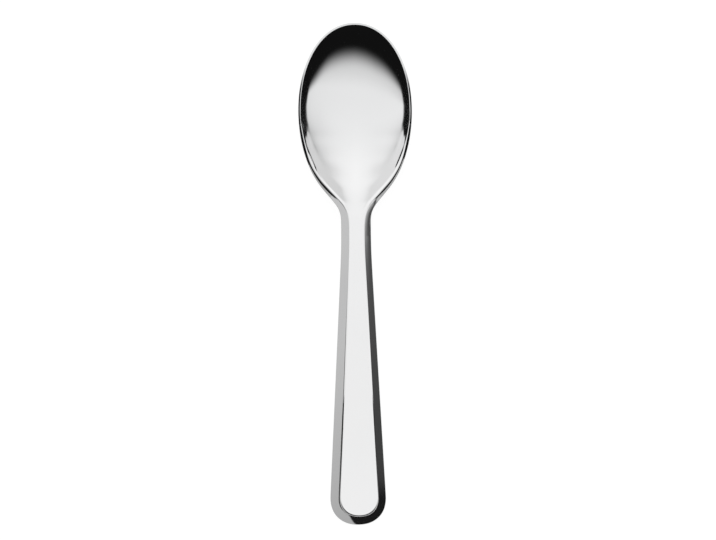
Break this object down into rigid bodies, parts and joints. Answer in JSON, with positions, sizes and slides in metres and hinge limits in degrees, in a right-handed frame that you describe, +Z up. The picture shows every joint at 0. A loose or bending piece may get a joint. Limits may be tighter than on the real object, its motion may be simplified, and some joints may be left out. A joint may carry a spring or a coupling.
{
  "type": "teaspoon",
  "caption": "Teaspoon in polished steel: oval bowl with a thin flat rim, and a hollow bevelled handle that widens to a rounded end.",
  "frame": {"origin": "middle of the spoon's box, on the table it lies on", "axes": "+Y along the spoon towards the tip of the bowl, +X across it, +Z up out of the bowl's hollow"},
  "size_m": [0.0314, 0.1384, 0.0103],
  "materials": {
    "polished_steel": "polished",
    "filler": "matte"
  },
  "bodies": {
    "root": {"bowl_with_tang": "polished_steel", "handle_face_shell": "polished_steel", "handle_back_shell": "polished_steel", "handle_filler": "filler"}
  },
  "joints": []
}
